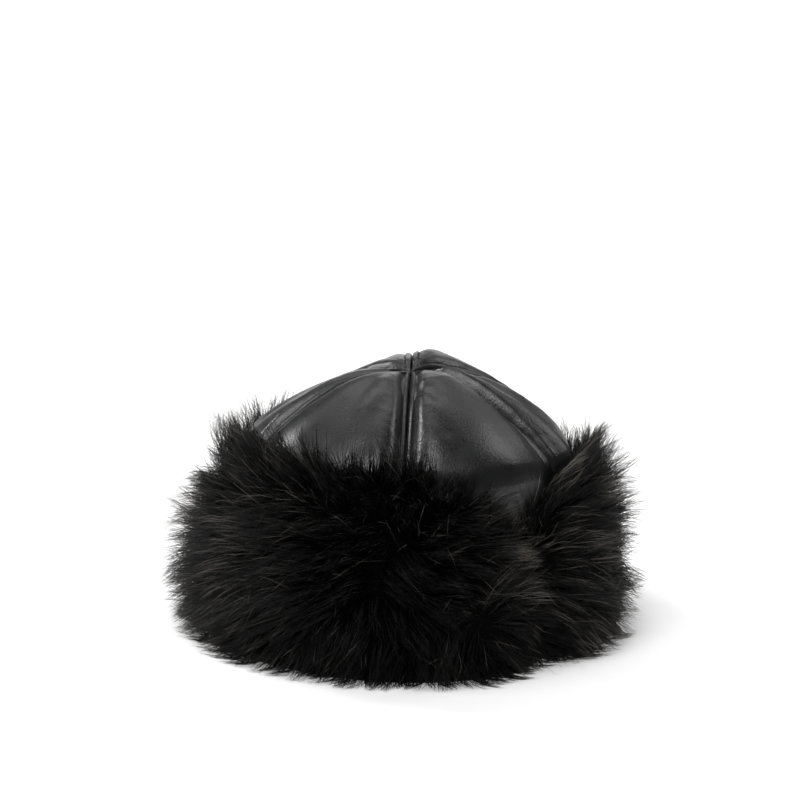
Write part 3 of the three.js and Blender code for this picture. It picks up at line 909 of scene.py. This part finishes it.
def keep_in_reach(path, rng):
    """Hairs that would stand out too far are drawn in towards their roots."""
    tip = path[:, -1]
    height = np.maximum(tip[:, 2], 0)
    turn = turn_of(tip)
    beside = bell(turn - TAPER_TURN, TAPER_WIDTH)
    limit = from_table(FUR_REACH, "height", height, "reach")
    limit = limit - TAPER_DEPTH * from_table(FUR_REACH, "height", height, "taper") * beside
    chance = rng.uniform(*REACH_CHANCE, len(tip))
    limit = limit * (1 + REACH_WAVE * wander(REACH_SEED, turn, REACH_TURNS) + chance)
    root_reach = np.hypot(path[:, 0, 0], path[:, 0, 1])
    tip_reach = np.hypot(tip[:, 0], tip[:, 1])
    share = (limit - root_reach) / np.maximum(tip_reach - root_reach, MM)
    share = np.where(tip_reach > limit, np.clip(share, DRAWN_IN_LENGTH, 1), 1)
    return path[:, :1] + (path - path[:, :1]) * share[:, None, None]


def flap_length(flap):
    """How long a flap is, round the hat."""
    return math.radians(flap["to"] - flap["from"]) * (CROWN_HALF_WIDTH + FLAP_DEPTH)


def flap_places(flap, count, rng):
    """Turns and heights spread evenly over a flap, on a grid that is shaken."""
    columns = max(int(round(math.sqrt(count * flap_length(flap) / OUTLINE_LENGTH))), 2)
    rows = max(int(round(count / columns)), 2)
    share, up = np.meshgrid((np.arange(columns) + 0.5) / columns, (np.arange(rows) + 0.5) / rows)
    share = share.ravel() + rng.uniform(-0.5, 0.5, share.size) / columns
    up = np.clip(up.ravel() + rng.uniform(-0.5, 0.5, up.size) / rows, EDGE_SHARE, 1 - EDGE_SHARE)
    share = np.clip(share, EDGE_SHARE, 1 - EDGE_SHARE)
    return flap_turn(flap, share, up * FLAP_HEIGHT), up


def nearest(points, centres):
    """The nearest centre to each point."""
    tree = KDTree(len(centres))
    for index, centre in enumerate(centres):
        tree.insert(centre, index)
    tree.balance()
    return np.array([tree.find(point)[1] for point in points])


def hair_mesh(name, path, width, tone):
    """Closed three-sided spikes along paths, with how far along (along) and how much painted sheen (tone).
    """
    hairs, count, _ = path.shape
    tangent = unit(np.gradient(path, axis=1))
    rng = np.random.default_rng(ROLL_SEED)
    beside = unit(np.cross(tangent, unit(rng.normal(0, 1, (hairs, 1, 3)))))
    other = np.cross(tangent, beside)
    shares = np.linspace(0, 1, count)
    radius = width[:, None] / 2 * (1 - shares[None, :-1] ** HAIR_TAPER_POWER * HAIR_TAPER)
    rings = rings_round(path[:, :-1], beside[:, :-1], other[:, :-1], radius, HAIR_SIDES)
    points = np.concatenate([rings.reshape(hairs, -1, 3), path[:, -1:]], 1)
    last_ring = HAIR_SIDES * (count - 2)
    tip = HAIR_SIDES * (count - 1)
    tip_faces = np.array([[last_ring + k, last_ring + (k + 1) % HAIR_SIDES, tip] for k in range(HAIR_SIDES)])
    one = np.concatenate([loft_faces(count - 1, HAIR_SIDES), tip_faces, np.array([[0, 2, 1]])])
    faces = (np.arange(hairs)[:, None, None] * (tip + 1) + one[None]).reshape(-1, 3)
    piece = new_mesh(name, points.reshape(-1, 3), faces)
    along = np.tile(np.concatenate([np.repeat(shares[:-1], HAIR_SIDES), [1.0]]), hairs)
    add_values(piece, "along", along)
    add_values(piece, "tone", np.repeat(tone, tip + 1))
    add_hair_map(piece, hairs, one, tip)
    return piece


def add_hair_map(piece, hairs, faces, tip):
    """A map that gives each hair its own upright cell, from root to tip."""
    columns = int(math.ceil(math.sqrt(hairs * CELL_TALLNESS)))
    rows = int(math.ceil(hairs / columns))
    corners = []
    for face in faces:
        sides = [k % HAIR_SIDES for k in face if k < tip]
        wraps = set(sides) == {0, HAIR_SIDES - 1}
        for k in face:
            side = k % HAIR_SIDES + HAIR_SIDES * (wraps and k % HAIR_SIDES == 0)
            if k == tip:
                side = HAIR_SIDES - 0.5 if wraps else min(sides) + 0.5
            corners.append((side / HAIR_SIDES, k // HAIR_SIDES * HAIR_SIDES / tip))
    margin = np.array(CELL_MARGIN)
    inside = margin + (1 - 2 * margin) * np.array(corners)
    cell = np.arange(hairs)
    start = np.stack([cell % columns, cell // columns], -1)
    places = (start[:, None] + inside[None]) / np.array([columns, rows])
    layer = piece.data.uv_layers.new(name="OFBake")
    layer.data.foreach_set("uv", places.astype(np.float32).ravel())


def fur_locks(flap, area, lock, kind, root):
    """The lock that each hair of a flap belongs to: its way, middle line, size, bend and painted sheen."""
    rng = np.random.default_rng(flap["seed"] + int(lock["spacing"] / MM))
    turn, up = flap_places(flap, area / lock["spacing"] ** 2, rng)
    start = fur_point(turn, up)
    normal = fur_normal(turn, up)
    way = fur_direction(turn, up, rng, LOCK_TILT)
    size = rng.uniform(1 - lock["spread"], 1 + lock["spread"], len(turn))
    tone = rng.uniform(0, 1, len(turn)) ** SHEEN["power"]
    bend = rng.uniform(*LOCK_BEND, len(turn))
    length = kind["length"] * length_share(turn, up) * size
    middle = hair_path(start - normal * ROOT_INSET, way, normal, length, kind["points"], bend)
    mine = nearest(root, start)
    values = {"way": way, "size": size, "tone": tone, "bend": bend, "middle": middle}
    return {name: value[mine] for name, value in values.items()}


def gathered(path, locks, stray, rng):
    """Hairs drawn in towards the middle lines of their locks, most at their tips."""
    shares = np.linspace(0, 1, path.shape[1])
    for lock, form in zip(LOCKS, locks):
        follow = np.where(stray, STRAY_FOLLOWING, rng.uniform(*FOLLOWING, len(path)))
        pull = lock["pull"] * shares ** PULL_POWER * follow[:, None]
        path = path + (form["middle"] - path) * pull[..., None]
    path[:, 1:] += rng.normal(0, WAVINESS, path[:, 1:].shape) * shares[None, 1:, None]
    return path


def off_the_crown(path):
    """Hairs moved out of the crown, and cut shorter first where it would lift them far."""
    lifted = np.linalg.norm(clear_of_crown(path[:, 1:]) - path[:, 1:], axis=2).max(axis=1) > LIFT_LIMIT
    path[lifted] = path[lifted, :1] + (path[lifted] - path[lifted, :1]) * LIFTED_LENGTH
    path[:, 1:] = clear_of_crown(path[:, 1:])
    return path


def hair_sheen(turn, kind, locks, stray, rng):
    """How much painted sheen each hair has, from 0 to 1, with painted shade near the parting."""
    chance = rng.uniform(0, 1, len(turn))
    # Painted sheen: lighter locks, lighter hairs by chance and a few much lighter ones stand in for the
    # fur's sheen
    tone = sum(form["tone"] * lock["light"] for lock, form in zip(LOCKS, locks))
    tone = tone * (SHEEN["base"] + SHEEN["chance"] * chance) + chance ** SHEEN["rarity"] * SHEEN["rare"]
    # Painted shade: hairs are darker near the parting, where the fur lies least to the side
    shade_at_parting = SHEEN["parting_shade"] + (1 - SHEEN["parting_shade"]) * np.abs(fur_sweep(turn))
    tone = kind["tone"] * np.clip(tone, 0, 1) * shade_at_parting
    return np.where(stray, SHEEN["stray"] + (1 - SHEEN["stray"]) * tone, tone)


def flap_hair(flap, kind, material):
    """All hairs of one kind on one flap, as one piece."""
    rng = np.random.default_rng(flap["seed"] * 100 + kind["seed"])
    area = flap_length(flap) * OUTLINE_LENGTH
    turn, up = flap_places(flap, area * kind["count"], rng)
    root = fur_point(turn, up)
    normal = fur_normal(turn, up)
    stray = rng.uniform(0, 1, len(turn)) < kind["stray"]
    own_way = fur_direction(turn, up, rng, HAIR_TILT)
    locks = [fur_locks(flap, area, lock, kind, root) for lock in LOCKS]
    direction = unit(own_way * OWN_WAY + sum(lock["way"] for lock in locks) * LOCK_WAY)
    wild = unit(own_way + rng.normal(0, STRAY_SCATTER, own_way.shape))
    direction[stray] = wild[stray]
    spread = rng.uniform(1 - kind["spread"], 1 + kind["spread"] / 2, len(turn))
    length = kind["length"] * length_share(turn, up) * spread
    for lock in locks:
        length = length * lock["size"]
    bend = locks[0]["bend"] + rng.uniform(-HAIR_BEND, HAIR_BEND, len(turn))
    path = hair_path(root - normal * ROOT_INSET, direction, normal, length, kind["points"], bend)
    path = off_the_crown(keep_in_reach(gathered(path, locks, stray, rng), rng))
    path[..., 2] = np.maximum(path[..., 2], FLOOR_GAP)
    width = kind["width"] * rng.uniform(*HAIR_WIDTHS, len(turn))
    tone = hair_sheen(turn, kind, locks, stray, rng)
    piece = hair_mesh(kind["name"] + "_" + flap["name"], path, width, tone)
    dress(piece, material)


# Materials

def feed(tree, node, inputs):
    """Links a node's inputs to outputs of other nodes, or sets them where a number is given."""
    for name, value in inputs.items():
        if isinstance(value, bpy.types.NodeSocket):
            tree.links.new(value, node.inputs[name])
        else:
            node.inputs[name].default_value = value


def add_node(tree, kind, inputs):
    node = tree.nodes.new("ShaderNode" + kind)
    feed(tree, node, inputs)
    return node


def new_material(name):
    """A material, its node tree, its shader and the place on the surface."""
    material = bpy.data.materials.new(name)
    material.use_nodes = True
    tree = material.node_tree
    place = add_node(tree, "TexCoord", {}).outputs["Object"]
    return material, tree, tree.nodes["Principled BSDF"], place


def noise(tree, vector, scale, detail=3, distortion=0):
    inputs = {"Vector": vector, "Scale": scale, "Detail": detail, "Distortion": distortion}
    return add_node(tree, "TexNoise", inputs).outputs["Fac"]


def ramp(tree, value, stops):
    node = add_node(tree, "ValToRGB", {"Fac": value})
    elements = node.color_ramp.elements
    while len(elements) < len(stops):
        elements.new(0.5)
    for element, (place, color) in zip(elements, stops):
        element.position = place
        element.color = (*color, 1)
    return node.outputs["Color"]


def to_range(tree, value, low, high):
    return add_node(tree, "MapRange", {"Value": value, "To Min": low, "To Max": high}).outputs["Result"]


def attribute(tree, name):
    node = add_node(tree, "Attribute", {})
    node.attribute_name = name
    return node.outputs["Fac"]


def times(tree, first, second):
    node = add_node(tree, "Math", {0: first, 1: second})
    node.operation = "MULTIPLY"
    return node.outputs["Value"]


def bump(tree, height, distance, strength, under=None):
    inputs = {"Height": height, "Distance": distance, "Strength": strength}
    if under:
        inputs["Normal"] = under
    return add_node(tree, "Bump", inputs).outputs["Normal"]


def leather_material():
    """Smooth black leather: a fine grain with pores, crackled patches and an uneven semi-gloss."""
    material, tree, shader, place = new_material("black_leather")
    tint = noise(tree, place, scale=22, detail=4)
    gloss = noise(tree, place, scale=75, detail=5)
    stretched = add_node(tree, "Mapping", {"Vector": place, "Scale": (1, 1, 0.4)}).outputs["Vector"]
    grain = noise(tree, stretched, scale=950, detail=2)
    pores = add_node(tree, "TexVoronoi", {"Vector": place, "Scale": 900}).outputs["Distance"]
    creases = noise(tree, place, scale=330, detail=4, distortion=1.2)
    coarse = bump(tree, times(tree, creases, attribute(tree, "crackle")), distance=0.6 * MM, strength=0.5)
    finer = bump(tree, grain, distance=0.26 * MM, strength=0.8, under=coarse)
    feed(tree, shader, {
        "Base Color": ramp(tree, tint, LEATHER_COLORS),
        "Roughness": to_range(tree, gloss, low=0.22, high=0.36),
        "Normal": bump(tree, pores, distance=0.1 * MM, strength=0.3, under=finer),
    })
    return material


def flecked_material(name, colors, bump_depth, bump_strength, roughness, specular, **texture):
    """A material whose one noise gives its colour and its small bumps."""
    material, tree, shader, place = new_material(name)
    flecks = noise(tree, place, **texture)
    feed(tree, shader, {
        "Base Color": ramp(tree, flecks, colors),
        "Normal": bump(tree, flecks, bump_depth, bump_strength),
        "Roughness": roughness,
        "Specular IOR Level": specular,
    })
    return material


def thread_material():
    """Black sewing thread with a fine twist."""
    return flecked_material("black_thread", THREAD_COLORS, bump_depth=0.08 * MM, bump_strength=0.6,
                            roughness=0.6, specular=0.15, scale=2600, detail=2)


def undercoat_material():
    """The dense fur between the hairs: black, darkened further as painted shade."""
    return flecked_material("fur_undercoat", UNDERCOAT_COLORS, bump_depth=1.2 * MM, bump_strength=0.9,
                            roughness=0.9, specular=0.05, scale=420, detail=4, distortion=1.5)


def hair_material():
    """Black hair with painted shade at the roots and a painted warm brown-grey sheen towards the tips of the
    lighter locks.
    """
    material, tree, shader, place = new_material("fur_hair")
    # Painted shade at the roots and painted sheen towards the tips: how far along a hair, times its painted
    # sheen, picks its colour
    lighter = times(tree, attribute(tree, "along"), attribute(tree, "tone"))
    uneven = to_range(tree, noise(tree, place, scale=60, detail=2), low=0.6, high=1.3)
    feed(tree, shader, {
        "Base Color": ramp(tree, times(tree, lighter, uneven), HAIR_COLORS),
        "Roughness": 0.42,
        "Specular IOR Level": 0.22,
    })
    return material


def floor_material():
    """A pale plain surface with a glow of its own."""
    material, tree, shader, place = new_material("pale_floor")
    pale = ramp(tree, noise(tree, place, scale=3), FLOOR_COLORS)
    feed(tree, shader, {
        "Base Color": pale,
        "Emission Color": pale,
        "Emission Strength": FLOOR_GLOW,
        "Roughness": 0.9,
    })
    return material


# Stage

def add_floor():
    corners = [(x * FLOOR_REACH, y * FLOOR_REACH, 0) for x, y in ((-1, -1), (1, -1), (1, 1), (-1, 1))]
    floor = new_mesh("floor", corners, [[0, 1, 2, 3]], smooth=False)
    floor.data.materials.append(floor_material())


def add_light(lamp):
    """A far, soft light. Its disc is angle degrees wide and glows as brightly as glow says."""
    light = bpy.data.lights.new(lamp["name"], "SUN")
    light.angle = math.radians(lamp["angle"])
    light.energy = lamp["glow"] * math.pi * math.sin(light.angle / 2) ** 2
    rise = math.radians(lamp["rise"])
    way = outward(np.array(lamp["turn"])) * math.cos(rise) + UP * math.sin(rise)
    holder = bpy.data.objects.new(lamp["name"], light)
    holder.location = Vector(way)
    holder.rotation_euler = Vector(way).to_track_quat("Z", "Y").to_euler()
    bpy.context.scene.collection.objects.link(holder)


def add_lights():
    """A dim grey studio that is a little brighter towards the horizon, and its lamps."""
    world = bpy.data.worlds.new("studio")
    world.use_nodes = True
    tree = world.node_tree
    place = add_node(tree, "TexCoord", {}).outputs["Generated"]
    height = add_node(tree, "SeparateXYZ", {"Vector": place}).outputs["Z"]
    stops = [(place, (glow, glow, glow)) for place, glow in STUDIO_GLOW]
    feed(tree, tree.nodes["Background"], {"Color": ramp(tree, height, stops)})
    bpy.context.scene.world = world
    bpy.context.scene.view_settings.view_transform = "Standard"
    for lamp in LAMPS:
        add_light(lamp)


def add_camera():
    turn, rise = math.radians(CAMERA_TURN), math.radians(CAMERA_RISE)
    back = Vector((math.sin(turn) * math.cos(rise), -math.cos(turn) * math.cos(rise), math.sin(rise)))
    right = Vector((math.cos(turn), math.sin(turn), 0))
    up = back.cross(right)
    roll = math.radians(CAMERA_ROLL)
    lens = bpy.data.cameras.new("photo_camera")
    lens.sensor_width = SENSOR_WIDTH
    lens.lens = SENSOR_WIDTH / VIEW_WIDTH * CAMERA_DISTANCE
    camera = bpy.data.objects.new("photo_camera", lens)
    place = back * CAMERA_DISTANCE
    aim = right * AIM_RIGHT + up * AIM_UP
    away = (place - aim).normalized()
    side = Vector((0, 0, 1)).cross(away).normalized()
    over = away.cross(side)
    turned_side = side * math.cos(roll) + over * math.sin(roll)
    turned_over = over * math.cos(roll) - side * math.sin(roll)
    camera.matrix_world = Matrix((turned_side, turned_over, away)).transposed().to_4x4()
    camera.location = place
    bpy.context.scene.collection.objects.link(camera)
    bpy.context.scene.camera = camera


def build_hat():
    leather = leather_material()
    for panel in PANELS:
        leather_panel(panel, leather)
    stitch_rows(thread_material())
    dark = undercoat_material()
    hair = hair_material()
    for flap in FLAPS:
        undercoat(flap, dark)
        for kind in HAIR_KINDS:
            flap_hair(flap, kind, hair)


add_camera()
add_floor()
add_lights()
build_hat()
